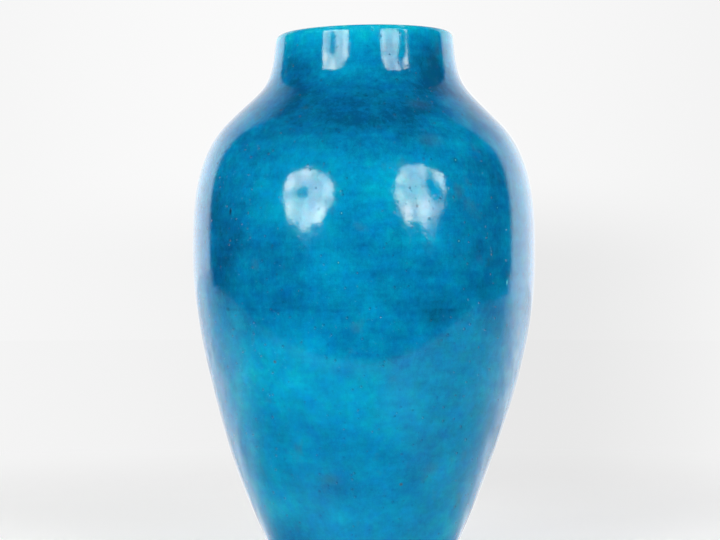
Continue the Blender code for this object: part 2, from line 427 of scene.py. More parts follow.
# %% What the potter's hands did to the round
# Height, then how far the axis has moved to the right and back
WANDER = [
    (0.000, -0.00040, 0.0),
    (0.030, -0.00055, 0.0001),
    (0.062, -0.00074, 0.0002),
    (0.118, 0.00045, 0.0),
    (0.150, 0.00055, 0.0),
    (0.188, 0.00010, 0.0),
    (0.230, 0.0, -0.0001),
    (0.272, -0.00010, -0.0002),
    (0.292, 0.00040, -0.0002),
    (0.322, 0.00050, -0.0002),
]
LUMP_SIZE = 0.055
LUMP_DEPTH = 0.00012
RIPPLE_SIZE = 0.016
RIPPLE_DEPTH = 0.000012
NEAR_AXIS = WAIST_RADIUS / 100


def smooth_step(low, high, value):
    share = min(1.0, max(0.0, (value - low) / (high - low)))
    return share * share * (3 - 2 * share)


def wander(height):
    for (low, x_low, y_low), (high, x_high, y_high) in zip(WANDER, WANDER[1:]):
        if height <= high:
            share = smooth_step(low, high, height)
            return x_low + (x_high - x_low) * share, y_low + (y_high - y_low) * share
    return WANDER[-1][1:]


def hand_thrown(place):
    radius = math.hypot(place.x, place.y)
    if radius < NEAR_AXIS:
        return place
    across, back = place.x / radius, place.y / radius
    lump = (noise.noise(place / LUMP_SIZE) - 1) * LUMP_DEPTH
    lump += (noise.noise(place / RIPPLE_SIZE) - 1) * RIPPLE_DEPTH
    moved = radius + lump * smooth_step(0, WAIST_RADIUS / 2, radius)
    aside, behind = wander(place.z)
    height = place.z
    height += moved * across * math.tan(RIM_TILT) * smooth_step(SHOULDER_HEIGHT, RIM_HEIGHT, place.z)
    return Vector((moved * across + aside, moved * back + behind, height))


right_of_lip = Vector((LIP_RADIUS, 0, RIM_HEIGHT))
print("the right side of the lip moves by, mm:", in_mm(hand_thrown(right_of_lip) - right_of_lip, 2))

# %% [markdown]
# Every piece is a profile spun about the Z axis. A full spin with use_merge does it, but takes long
# with hundreds of steps. It is quicker to spin an eighth, and to double it three times by copying
# and rotating. Then the doubled corners at the seams and on the axis are merged, and the normals
# are turned outwards. The edges are counted after that: a closed piece has two faces at each.

# %% Turning a profile into a piece
EIGHTH = math.pi / 4
SAME_PLACE = 0.000004
SHARP_ANGLE = math.radians(40)


def add_to_scene(name, data):
    made = bpy.data.objects.new(name, data)
    bpy.context.scene.collection.objects.link(made)
    return made


def turned(name, profile, columns, moved=hand_thrown):
    made = bmesh.new()
    points = [made.verts.new((p.x, 0, p.y)) for p in profile]
    for a, b in zip(points, points[1:]):
        made.edges.new((a, b))
    if min(profile[0].x, profile[-1].x) > 0:
        made.edges.new((points[-1], points[0]))
    about_z = {"cent": (0, 0, 0), "axis": (0, 0, 1)}
    bmesh.ops.spin(made, geom=made.verts[:] + made.edges[:], angle=EIGHTH, steps=columns // 8, **about_z)
    for turn in (EIGHTH, 2 * EIGHTH, 4 * EIGHTH):
        copied = bmesh.ops.duplicate(made, geom=made.verts[:] + made.edges[:] + made.faces[:])
        copied_corners = [item for item in copied["geom"] if isinstance(item, bmesh.types.BMVert)]
        bmesh.ops.rotate(made, verts=copied_corners, cent=(0, 0, 0), matrix=Matrix.Rotation(turn, 3, "Z"))
    bmesh.ops.remove_doubles(made, verts=made.verts[:], dist=SAME_PLACE)
    bmesh.ops.recalc_face_normals(made, faces=made.faces[:])
    for corner in made.verts:
        corner.co = moved(corner.co)
    open_edges = sum(1 for edge in made.edges if len(edge.link_faces) != 2)
    mesh = bpy.data.meshes.new(name)
    made.to_mesh(mesh)
    made.free()
    mesh.shade_smooth()
    mesh.set_sharp_from_angle(angle=SHARP_ANGLE)
    piece = add_to_scene(name, mesh)
    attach(piece, "root")
    triangles = sum(len(face.vertices) - 2 for face in mesh.polygons)
    print(name, triangles, "triangles,", open_edges, "open edges")
    return piece


# %% [markdown]
# The glaze ran a little unevenly towards the foot, so its lower edge isn't a level line. Only the
# outer coat gets this wavering edge: the clay under it was trimmed true on the wheel.

# %% The coats of glaze
EDGE_WAVER = 0.0013
EDGE_REACH = 0.0120


def run_down(place):
    angle = math.atan2(place.y, place.x)
    around = Vector((math.cos(angle), math.sin(angle), 0.4))
    waver = noise.noise(around * 3) + noise.noise(around * 9) / 2
    near_edge = 1 - smooth_step(BARE_FOOT, BARE_FOOT + EDGE_REACH, place.z)
    lowered = place - Vector((0, 0, EDGE_WAVER * (waver - 0.2) * near_edge))
    return hand_thrown(lowered)


outer_glaze = turned("outer_glaze_coat", outer_glaze_profile(), 320, run_down)
inner_glaze = turned("inner_glaze_coat", inner_glaze_profile(), 240)
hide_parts("outer_glaze")
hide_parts("inner_glaze")

# %% The thrown sections, the foot ring and the slip between them
clay_pieces = {
    "foot_ring": turned("foot_ring_clay", foot_ring_profile(), 240),
    "lower_section": turned("lower_section_clay", lower_section_profile(), 192),
    "upper_section": turned("upper_section_clay", upper_section_profile(), 192),
    "neck_collar": turned("neck_collar_clay", neck_collar_profile(), 192),
}
slip_pieces = {
    "foot_lute": turned("foot_lute_slip", foot_lute_profile(), 192),
    "belly_lute": turned("belly_lute_slip", seam_lute_profile(BELLY_SEAM), 192),
    "neck_lute": turned("neck_lute_slip", seam_lute_profile(NECK_SEAM), 192),
}
for node_name, piece in {**clay_pieces, **slip_pieces}.items():
    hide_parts(node_name)

# %% [markdown]
# Where the glaze is thick it is deep blue, and where it is thin it is a light turquoise. How thick it
# lies depends on the place: it drains off the lip, gathers at the root of the neck, and left broad
# pools and thin patches when it was poured. This is painted on the mesh as an attribute, which
# suits soft patches a centimetre and more across. The attribute also holds painted light: thin
# patches at the sides of the shoulder make them lighter, where light falls from above and the sides.
# Finer detail is left to the material's nodes.

# %% Thickness by height
# Height in millimetres, and hundredths of the deepest coat
THICKNESS = [
    (0, 56), (30, 47), (50, 45), (70, 54), (90, 58), (105, 53), (125, 54), (150, 60),
    (175, 59), (200, 59), (213, 58), (225, 53), (237, 59), (250, 72), (264, 83), (274, 85),
    (284, 71), (294, 50), (305, 36), (310, 31), (314.5, 22), (318, 13), (319.5, 8), (321, 0),
]

# %% Thin and thick patches
# Degrees from the front, then height, half-width and half-height in millimetres, then the change
# of thickness in hundredths
PATCHES = [
    # The first four, wide thin patches at the sides of the shoulder, are painted light: they make the
    # shoulder's sides lighter, as light from above and the sides falls there.
    (-74, 268, 50, 18, -24), (74, 268, 50, 18, -24), (-78, 245, 40, 20, -14), (78, 245, 40, 20, -14),
    (55, 290, 10, 10, -6), (-27, 287, 8, 6, -12), (-51, 279, 12, 14, -24), (-50, 262, 20, 12, -6),
    (43, 272, 10, 8, -16), (38, 256, 18, 10, -20), (11, 249, 14, 8, -14), (-13, 237, 14, 16, -18),
    (20, 237, 16, 8, -14), (14, 226, 24, 13, -20), (-33, 219, 16, 6, -10), (-22, 208, 20, 12, -16),
    (-44, 212, 6, 8, -14), (-14, 205, 8, 10, -14), (60, 185, 12, 50, -12), (50, 257, 10, 8, -10),
    (-50, 256, 12, 8, -10), (24, 178, 10, 6, -12), (39, 137, 10, 8, -8), (-42, 137, 12, 8, -10),
    (48, 88, 10, 10, -12), (-8, 44, 8, 7, -12), (53, 29, 12, 10, -14), (26, 254, 14, 8, -8),
    (-4, 253, 14, 7, -8), (-35, 251, 18, 10, -8), (15, 199, 12, 12, -10), (-49, 157, 10, 10, -14),
    (30, 66, 14, 10, -12), (54, 56, 10, 14, -12), (22, 200, 12, 10, -16), (36, 197, 12, 12, -12),
    (-40, 178, 9, 12, -12), (-11, 178, 14, 12, -20), (1, 158, 8, 12, -10), (-58, 150, 20, 30, -14),
    (39, 157, 12, 6, -12), (33, 150, 10, 8, -20), (-14, 147, 12, 10, -14), (-34, 139, 16, 8, -14),
    (-12, 128, 14, 6, -10), (-45, 118, 20, 20, -18), (-26, 120, 24, 16, -20), (-23, 111, 9, 7, -12),
    (-10, 108, 22, 14, -6), (2, 112, 14, 16, -12), (43, 112, 14, 26, -10), (54, 115, 12, 12, -12),
    (-52, 92, 22, 24, -18), (14, 94, 16, 18, -17), (-27, 80, 8, 8, -16), (38, 67, 10, 14, -14),
    (-24, 62, 14, 10, -8), (-52, 50, 16, 18, -18), (-39, 41, 14, 10, -14), (45, 36, 18, 14, -16),
    (-50, 292, 12, 18, 22), (52, 292, 12, 18, 12), (44, 307, 12, 14, 46), (-46, 300, 10, 14, 12),
    (-31, 302, 10, 10, 10), (-8, 302, 12, 12, 10), (24, 283, 10, 12, 14), (-31, 281, 9, 12, 22),
    (-44, 252, 10, 6, 14), (-36, 258, 10, 6, 12), (-7, 260, 14, 6, 16), (14, 260, 14, 6, 12),
    (23, 247, 10, 6, 8), (38, 289, 9, 10, 20), (-40, 284, 10, 10, 12), (-57, 214, 12, 12, 16),
    (-57, 176, 10, 12, 12), (30, 215, 8, 10, 12), (35, 193, 12, 8, 16), (-42, 190, 10, 10, 8),
    (47, 181, 10, 8, 12), (-40, 128, 12, 10, 6), (6, 302, 10, 10, 10), (34, 300, 8, 12, 12),
    (-31, 277, 8, 6, 10), (-22, 184, 10, 12, 10), (-35, 171, 10, 10, 8), (31, 157, 12, 5, 12),
    (-41, 98, 10, 12, 8), (46, 232, 12, 12, 18), (-50, 190, 18, 34, 27), (-49, 188, 8, 12, 10),
    (-30, 194, 12, 14, 16), (-2, 187, 9, 7, 10), (45, 195, 22, 34, 14), (8, 183, 7, 14, 10),
    (20, 185, 14, 14, 12), (-18, 171, 18, 7, 16), (-52, 175, 7, 7, 10), (27, 173, 12, 6, 6),
    (43, 168, 10, 6, 20), (-26, 160, 20, 6, 22), (20, 160, 22, 6, 20), (26, 153, 10, 8, 16),
    (-8, 144, 7, 10, 10), (13, 137, 10, 8, 14), (28, 135, 10, 8, 8), (6, 125, 10, 8, 10),
    (-13, 77, 12, 14, 8), (8, 77, 10, 5, 10), (24, 68, 10, 18, 14), (-12, 56, 18, 10, 18),
    (32, 56, 10, 7, 8), (35, 41, 12, 12, 12), (-40, 26, 14, 8, 10),
]
PATCH_UNITS = (1, 1000, 1000, 1000, 100)
front_patches = [tuple(v / unit for v, unit in zip(patch, PATCH_UNITS)) for patch in PATCHES]
print("patches on the front:", len(front_patches))

# %% The same kind of patches, strewn over the side that the front view doesn't show
BACK_PATCHES = 34
BACK_RANGES = [(85, 275), (0.020, 0.300), (0.012, 0.028), (0.008, 0.022), (0.12, 0.22)]
strewn = np.random.default_rng(11)
back_patches = []
for _ in range(BACK_PATCHES):
    *place_and_size, change = [strewn.uniform(*ends) for ends in BACK_RANGES]
    back_patches.append((*place_and_size, change * strewn.choice([-1, 1])))

# %% [markdown]
# The patches aren't true ovals, because noise bends them. The three parts of noise_vector start from
# random offsets, which differ in each run unless a seed is set. With the seed, every run paints the
# same pot.

# %% Painting the thickness and the painted side light on the outer coat
PATCH_BEND = 0.006
BEND_SIZE = 0.02
noise.seed_set(11)


def thickness_and_side_light_of(places):
    angle = np.arctan2(places[:, 0], -places[:, 1])
    tilt = np.interp(places[:, 2], (SHOULDER_HEIGHT, RIM_HEIGHT), (0, math.tan(RIM_TILT)))
    height = places[:, 2] - places[:, 0] * tilt
    radius = np.hypot(places[:, 0], places[:, 1])
    stops = np.array(THICKNESS) / (1000, 100)
    depth = np.interp(height, stops[:, 0], stops[:, 1])
    bend = np.array([noise.noise_vector(Vector(p) / BEND_SIZE) for p in places]) * PATCH_BEND
    for degrees, centre, width, tall, change in front_patches + back_patches:
        turn = (angle - math.radians(degrees) + math.pi) % (2 * math.pi) - math.pi
        across = (turn * radius + bend[:, 0]) / width
        up = (height - centre + bend[:, 2]) / tall
        depth = depth + change * np.exp(-(across ** 2 + up ** 2))
    return depth


coat_corners = np.array([v.co for v in outer_glaze.data.vertices])
depth = thickness_and_side_light_of(coat_corners)
layer = outer_glaze.data.attributes.new("coat_depth_and_side_light", "FLOAT", "POINT")
layer.data.foreach_set("value", depth.astype(np.float32))
print("coat depth from", round(float(depth.min()), 2), "to", round(float(depth.max()), 2))

# %% [markdown]
# Materials are built from nodes by one small helper: it adds a node, sets its properties, and either
# sets or links its inputs. A pattern that two finishes share is a node group with named sockets.

# %% Helpers for nodes
def add(tree, kind, inputs=None, **settings):
    made = tree.nodes.new(kind)
    for name, value in settings.items():
        setattr(made, name, value)
    for name, value in (inputs or {}).items():
        if isinstance(value, bpy.types.NodeSocket):
            tree.links.new(value, made.inputs[name])
        else:
            made.inputs[name].default_value = value
    return made


def calculate(tree, operation, *values):
    return add(tree, "ShaderNodeMath", dict(enumerate(values)), operation=operation).outputs[0]


def product(tree, *values):
    result = values[0]
    for value in values[1:]:
        result = calculate(tree, "MULTIPLY", result, value)
    return result


def weighted_sum(tree, start, *pairs):
    """The start plus each value times its weight."""
    for value, weight in pairs:
        start = calculate(tree, "MULTIPLY_ADD", value, weight, start)
    return start


def combine(tree, operation, *vectors):
    made = add(tree, "ShaderNodeVectorMath", dict(enumerate(vectors)), operation=operation)
    return made.outputs["Value" if operation in ("LENGTH", "DISTANCE") else "Vector"]


def vector_of(tree, x, y, z=0.0):
    return add(tree, "ShaderNodeCombineXYZ", {"X": x, "Y": y, "Z": z}).outputs["Vector"]


def parts_of(tree, vector):
    return add(tree, "ShaderNodeSeparateXYZ", {"Vector": vector}).outputs


def place_on_piece(tree):
    return add(tree, "ShaderNodeTexCoord").outputs["Object"]


def node_noise(tree, place, size, detail=1.0):
    """Noise from 0 to 1 whose clouds are about one size across."""
    inputs = {"Vector": place, "Scale": 1 / size, "Detail": detail}
    return add(tree, "ShaderNodeTexNoise", inputs).outputs["Fac"]


def mix(tree, factor, first, second, kind="FLOAT", blend="MIX"):
    inputs = {"Factor": factor, "A": first, "B": second}
    return add(tree, "ShaderNodeMix", inputs, data_type=kind, blend_type=blend).outputs["Result"]


def mix_colours(tree, factor, first, second, blend="MIX"):
    return mix(tree, factor, first, second, "RGBA", blend)


def follow_curve(tree, value, points, handle="AUTO"):
    """The value looked up on a curve that runs through the points."""
    made = add(tree, "ShaderNodeFloatCurve", {"Value": value})
    curve = made.mapping.curves[0]
    for position, height in points[1:-1]:
        curve.points.new(position, height)
    curve.points[0].location = points[0]
    curve.points[-1].location = points[-1]
    for point in curve.points:
        point.handle_type = handle
    made.mapping.update()
    return made.outputs["Value"]


def remap(tree, value, low, high, new_low=0.0, new_high=1.0, smooth=False):
    inputs = {"Value": value, "From Min": low, "From Max": high, "To Min": new_low, "To Max": new_high}
    kind = "SMOOTHSTEP" if smooth else "LINEAR"
    return add(tree, "ShaderNodeMapRange", inputs, interpolation_type=kind).outputs["Result"]


# %% Helpers for groups and materials
NUMBER, VECTOR, COLOUR = "NodeSocketFloat", "NodeSocketVector", "NodeSocketColor"


def new_group(name, inputs, outputs):
    """A group whose sockets are given as {name: type}."""
    group = bpy.data.node_groups.new(name, "ShaderNodeTree")
    for in_out, sockets in (("INPUT", inputs), ("OUTPUT", outputs)):
        for socket_name, kind in sockets.items():
            group.interface.new_socket(socket_name, in_out=in_out, socket_type=kind)
    start = group.nodes.new("NodeGroupInput")
    end = group.nodes.new("NodeGroupOutput")
    return group, start.outputs, end.inputs


def use_group(tree, group, inputs):
    return add(tree, "ShaderNodeGroup", inputs, node_tree=group).outputs


def new_material(name):
    material = bpy.data.materials.new(name)
    material.use_nodes = True
    return material, material.node_tree, material.node_tree.nodes["Principled BSDF"]


# %% [markdown]
# Clouds come from noise at several sizes. On a pot turned on a wheel they are drawn out sideways, so
# the place is squeezed along Z before it is looked up, which makes each cloud wide and low. The
# result lies around zero, and is added to the thickness.

# %% Clouds and streaks
cloud_sockets = {"Place": VECTOR, "Size": NUMBER, "Flatness": NUMBER, "Detail": NUMBER}
clouds, given, result = new_group("Clouds", cloud_sockets, {"Value": NUMBER})
squeezed = combine(clouds, "MULTIPLY", given["Place"], vector_of(clouds, 1.0, 1.0, given["Flatness"]))
per_metre = calculate(clouds, "DIVIDE", 1.0, given["Size"])
noise_inputs = {"Vector": squeezed, "Scale": per_metre, "Detail": given["Detail"], "Roughness": 0.55}
cloud_noise = add(clouds, "ShaderNodeTexNoise", noise_inputs)
clouds.links.new(remap(clouds, cloud_noise.outputs["Fac"], 0.0, 1.0, -1.0, 1.0), result["Value"])

# %% [markdown]
# A crackle glaze is crossed by hair cracks a millimetre or two apart. The edges of Voronoi cells
# make them, and each cell takes a slightly different tone, as the real ones do. Stretching the
# cells once up and once across gives the short upright and level ticks of the real craze, because
# its cracks follow the strain of the turned wall. A little noise bends the lines.

# %% Fine craze
craze_sockets = {"Place": VECTOR, "Cell": NUMBER, "Line": NUMBER, "Stretch": NUMBER, "Bend": NUMBER}
craze, given, result = new_group("Fine craze", craze_sockets, {"Line": NUMBER, "Tone": NUMBER})
per_metre = calculate(craze, "DIVIDE", 1.0, given["Cell"])
bending = add(craze, "ShaderNodeTexNoise", {"Vector": given["Place"], "Scale": per_metre, "Detail": 1.0})
centred = combine(craze, "SUBTRACT", bending.outputs["Color"], (0.5, 0.5, 0.5))
bend = calculate(craze, "MULTIPLY", given["Bend"], given["Cell"])
bent = combine(craze, "MULTIPLY_ADD", centred, vector_of(craze, bend, bend, bend), given["Place"])
drawn = combine(craze, "MULTIPLY", bent, vector_of(craze, 1.0, 1.0, given["Stretch"]))
cell_inputs = {"Vector": drawn, "Scale": per_metre, "Randomness": 0.9}
edges = add(craze, "ShaderNodeTexVoronoi", cell_inputs, feature="DISTANCE_TO_EDGE")
cells = add(craze, "ShaderNodeTexVoronoi", cell_inputs)
tone = add(craze, "ShaderNodeSeparateColor", {"Color": cells.outputs["Color"]}).outputs["Red"]
near_crack = remap(craze, edges.outputs["Distance"], 0.0, given["Line"], 1.0, 0.0, smooth=True)
craze.links.new(near_crack, result["Line"])
craze.links.new(remap(craze, tone, 0.0, 1.0, -1.0, 1.0), result["Tone"])

# %% [markdown]
# Gas that leaves the clay in the kiln pricks the glaze with pinholes. They are the middles of Voronoi
# cells. The cells fill space, so the surface cuts some dots near their middle and others at their
# side, and the holes come out in all sizes from a speck to a millimetre. Noise thins them out. The
# group also gives a soft ring round each hole, where the glaze has drawn back.

# %% Pinholes
CROWD_SIZE = 0.036
CORE_SHARE = 0.6
HALO_SHARE = 1.9

pinholes, given, result = new_group(
    "Pinholes",
    {"Place": VECTOR, "Cell": NUMBER, "Radius": NUMBER, "Least": NUMBER},
    {"Hole": NUMBER, "Ring": NUMBER, "Dome": NUMBER},
)
per_metre = calculate(pinholes, "DIVIDE", 1.0, given["Cell"])
cell_inputs = {"Vector": given["Place"], "Scale": per_metre}
dots = add(pinholes, "ShaderNodeTexVoronoi", cell_inputs).outputs["Distance"]
crowding = node_noise(pinholes, given["Place"], CROWD_SIZE)
crowd = remap(pinholes, crowding, 0.35, 0.65, given["Least"], 1.0)
reach = product(pinholes, given["Radius"], per_metre, crowd)
core = calculate(pinholes, "MULTIPLY", reach, CORE_SHARE)
halo = calculate(pinholes, "MULTIPLY", reach, HALO_SHARE)
hole = remap(pinholes, dots, core, reach, 1.0, 0.0, smooth=True)
around = remap(pinholes, dots, reach, halo, 1.0, 0.0, smooth=True)
pinholes.links.new(hole, result["Hole"])
pinholes.links.new(calculate(pinholes, "SUBTRACT", around, hole), result["Ring"])
pinholes.links.new(remap(pinholes, dots, 0.0, reach, 1.0, 0.0, smooth=True), result["Dome"])

# %% [markdown]
# One group turns thickness into colour. Its ramp runs from the pale edge of the lip through
# turquoise to the deep blue of a pool. Copper turns greener or bluer from place to place, which is
# the input Green, from -1 to 1. Iron from the clay stains the coat towards a brownish grey. A last
# input darkens it, for dirt in dark marks and for painted shade in pinholes and round specks.

# %% Glaze colour from thickness
COAT_STOPS = [
    (0.00, (0.180, 0.600, 0.690)),
    (0.10, (0.012, 0.490, 0.700)),
    (0.25, (0.001, 0.385, 0.640)),
    (0.40, (0.001, 0.305, 0.568)),
    (0.55, (0.001, 0.235, 0.482)),
    (0.75, (0.001, 0.158, 0.366)),
    (0.90, (0.001, 0.115, 0.275)),
    (1.00, (0.001, 0.088, 0.215)),
]
BLUER = (1.0, 0.86, 1.07, 1)
GREENER = (1.0, 1.10, 0.88, 1)
IRON_STAIN = (0.055, 0.095, 0.130, 1)
DIRT_AND_PIT_SHADE = (0.006, 0.030, 0.060, 1)

coat_sockets = {"Depth": NUMBER, "Green": NUMBER, "Iron": NUMBER, "Dirt and shade": NUMBER}
coat_colour, given, result = new_group("Coat colour", coat_sockets, {"Color": COLOUR})
ramp = add(coat_colour, "ShaderNodeValToRGB", {"Fac": given["Depth"]})
while len(ramp.color_ramp.elements) < len(COAT_STOPS):
    ramp.color_ramp.elements.new(0.5)
for stop, (position, colour) in zip(ramp.color_ramp.elements, COAT_STOPS):
    stop.position = position
    stop.color = (*colour, 1)

greenness = remap(coat_colour, given["Green"], -1.0, 1.0)
tint = mix_colours(coat_colour, greenness, BLUER, GREENER)
tinted = mix_colours(coat_colour, 1.0, ramp.outputs["Color"], tint, "MULTIPLY")
stained = mix_colours(coat_colour, given["Iron"], tinted, IRON_STAIN)
soiled = mix_colours(coat_colour, given["Dirt and shade"], stained, DIRT_AND_PIT_SHADE)
coat_colour.links.new(soiled, result["Color"])
print("groups so far:", [group.name for group in bpy.data.node_groups])

# %% [markdown]
# The potter pressed the front of the neck while it was soft, so it catches the light lower than a
# true round would. The dent is too slight to see in the outline. It only turns the normals down a
# little, by a few degrees along the neck and most at its root.

# %% The pressed front of the neck
PRESSED_LOW = 0.276
PRESSED_HIGH = 0.326
PRESSED_MOST = math.tan(math.radians(11.0))
PRESSED_SHARES = [
    (0.00, 0.00), (0.12, 0.19), (0.26, 0.73), (0.35, 0.95), (0.41, 0.68),
    (0.48, 0.50), (0.58, 0.47), (0.73, 0.36), (0.84, 0.32), (1.00, 0.32),
]
FRONT_FADE = (0.40, 0.80)


def pressed_neck(tree, place):
    parts = parts_of(tree, place)
    radius = combine(tree, "LENGTH", vector_of(tree, parts["X"], parts["Y"]))
    facing = calculate(tree, "DIVIDE", product(tree, parts["Y"], -1.0), radius)
    front = remap(tree, facing, *FRONT_FADE, smooth=True)
    share = follow_curve(tree, remap(tree, parts["Z"], PRESSED_LOW, PRESSED_HIGH), PRESSED_SHARES)
    down = vector_of(tree, 0.0, 0.0, product(tree, share, front, -PRESSED_MOST))
    normal = add(tree, "ShaderNodeNewGeometry").outputs["Normal"]
    return combine(tree, "NORMALIZE", combine(tree, "ADD", normal, down))


# %% [markdown]
# The pot has a few marks of its own: a dark chip of grit and another dark spot, spots and smudges of
# iron, and a small pale scar. Five specks are painted light: each pale middle is a painted glint and
# each dark edge painted shade. Each mark is a soft spot at one place of the glaze.

# %% Marks
# Degrees from the front, then height, half-width and half-height in millimetres, then the strength
MARKS = {
    # The first and the last are dirt; the five between are painted shade, the dark edges of the specks.
    "dark": [
        (-48, 213, 1.6, 3.2, 0.9), (32, 241, 2.4, 2.4, 0.5), (-7, 211, 1.6, 1.6, 0.4),
        (31, 196, 1.8, 1.8, 0.5), (48, 215, 1.8, 1.8, 0.4), (-8, 184, 1.4, 1.4, 0.4),
        (-51, 158, 2.4, 1.8, 0.4),
    ],
    "brown": [
        (-32, 129, 1.6, 1.4, 0.9), (17, 60, 1.6, 1.4, 0.9), (24, 252, 11.0, 6.0, 0.2),
        (25, 273, 12.0, 5.0, 0.2), (-14, 63, 9.0, 5.0, 0.2), (30, 68, 8.0, 6.0, 0.2),
    ],
    # Painted glints in the middles of the five specks, then the small pale scar
    "pale": [
        (32, 241, 0.9, 0.9, 0.7), (-7, 211, 0.7, 0.7, 0.8), (31, 196, 0.8, 0.8, 1.0),
        (48, 215, 0.8, 0.8, 0.8), (-8, 184, 0.6, 0.6, 0.8), (53, 173, 0.9, 2.8, 0.8),
    ],
}

spot_sockets = {"Place": VECTOR, "Centre": VECTOR, "Reach": VECTOR}
spot_group, given, result = new_group("Soft spot", spot_sockets, {"Value": NUMBER})
from_centre = combine(spot_group, "SUBTRACT", given["Place"], given["Centre"])
share = combine(spot_group, "LENGTH", combine(spot_group, "DIVIDE", from_centre, given["Reach"]))
spot_group.links.new(remap(spot_group, share, 0.1, 1.0, 1.0, 0.0, smooth=True), result["Value"])


def marks_of(tree, place, kind):
    pairs = []
    for degrees, *lengths, strength in MARKS[kind]:
        angle = math.radians(degrees)
        height, width, tall = (length / 1000 for length in lengths)
        radius = under(at_height(height, 0), 0).x
        centre = hand_thrown(Vector((math.sin(angle) * radius, -math.cos(angle) * radius, height)))
        inputs = {"Place": place, "Centre": tuple(centre), "Reach": (width, width, tall)}
        pairs.append((use_group(tree, spot_group, inputs)["Value"], strength))
    return weighted_sum(tree, 0.0, *pairs)


print("marks", {kind: len(places) for kind, places in MARKS.items()})

# %% [markdown]
# Both coats of glaze are one function with other values. Thickness, seen at all sizes, gives the
# colour. The shine is broken by waves a millimetre or two across and a hundredth of a millimetre
# high, by the cracks, and by the pits of the pinholes, which don't mirror the room.

# %% Patterns of the glaze
# Size, flatness and detail of each kind of cloud, and its weight in the thickness
THICKNESS_CLOUDS = {
    "broad": (0.030, 1.0, 2.0, 0.12),
    "patches": (0.011, 1.1, 3.0, 0.19),
    "mottle": (0.0036, 1.0, 2.0, 0.13),
    "streaks": (0.030, 8.0, 2.0, 0.10),
    "threads": (0.0018, 0.3, 1.0, 0.05),
}
HUE_CLOUD = (0.008, 1.0, 3.0)
IRON_CLOUD = (0.015, 0.8, 3.0)

# Cell, line, stretch and bend of each net of cracks, and the weight of its tones
UPRIGHT_CRAZE = (0.0018, 0.10, 0.45, 0.5)
LEVEL_CRAZE = (0.0028, 0.07, 2.2, 0.5)
WIDE_CRAZE = (0.0100, 0.030, 0.9, 0.35)
FINE_TONE, WIDE_TONE = 0.014, 0.016
CRACK_DEEPER = 0.06
LONG_CRACK_SHARE = 0.7

# Cell, radius and least share of each kind of dot
SPECKS = (0.0030, 0.00045, 0.45)
HOLES = (0.0058, 0.00080, 0.6)
PEEL = (0.0020, 0.00075, 0.3)
RING_DEEPER = 0.10
# How dark the pits are painted: painted shade in the specks and in the holes
SPECK_SHADE, HOLE_SHADE = 0.12, 0.30

PATTERN_HEIGHTS, PATTERN_SHARES = (0.06, 0.26), (0.8, 1.3)
HUE_SWING = 1.6
BROKEN_BY_HUE = (-0.25, 0.25)
IRON_FADE, IRON_MOST = (0.25, 0.75), 0.45

# %% Shine of the glaze, and a painted dark line, the reflected edge of the table
GLOSS = 0.025
PIT_ROUGHNESS = 0.06
GLAZE_IOR = 1.5
WAVE_SIZE = 0.0013
WAVE_HEIGHT = 0.000010
SWELL_SIZE = 0.007
SWELL_HEIGHT = 0.000026
PEEL_HEIGHT = 0.000014
CRACK_HEIGHT = 0.0000030
SPECK_DEPTH = 0.00008
HOLE_DEPTH = 0.00016
RING_HEIGHT = 0.000020

LINE_HEIGHT = 0.158
LINE_HALF_WIDTH = 0.0016
LINE_DEEPER = 0.12
LINE_WOBBLE = 0.0020
LINE_BREAKS = 0.020
LINE_FADE = (0.42, 0.60)


def painted_table_edge_line(tree, place):
    """Where the painted dark line shows, a wavering reflection of the table's edge just above the belly seam.
    """
    wavering = node_noise(tree, place, LINE_BREAKS)
    wobbly_height = weighted_sum(tree, parts_of(tree, place)["Z"], (wavering, LINE_WOBBLE))
    above_line = calculate(tree, "SUBTRACT", wobbly_height, LINE_HEIGHT + LINE_WOBBLE / 2)
    off_line = calculate(tree, "ABSOLUTE", above_line)
    line = remap(tree, off_line, 0.0, LINE_HALF_WIDTH, 1.0, 0.0, smooth=True)
    return product(tree, line, remap(tree, wavering, *LINE_FADE))


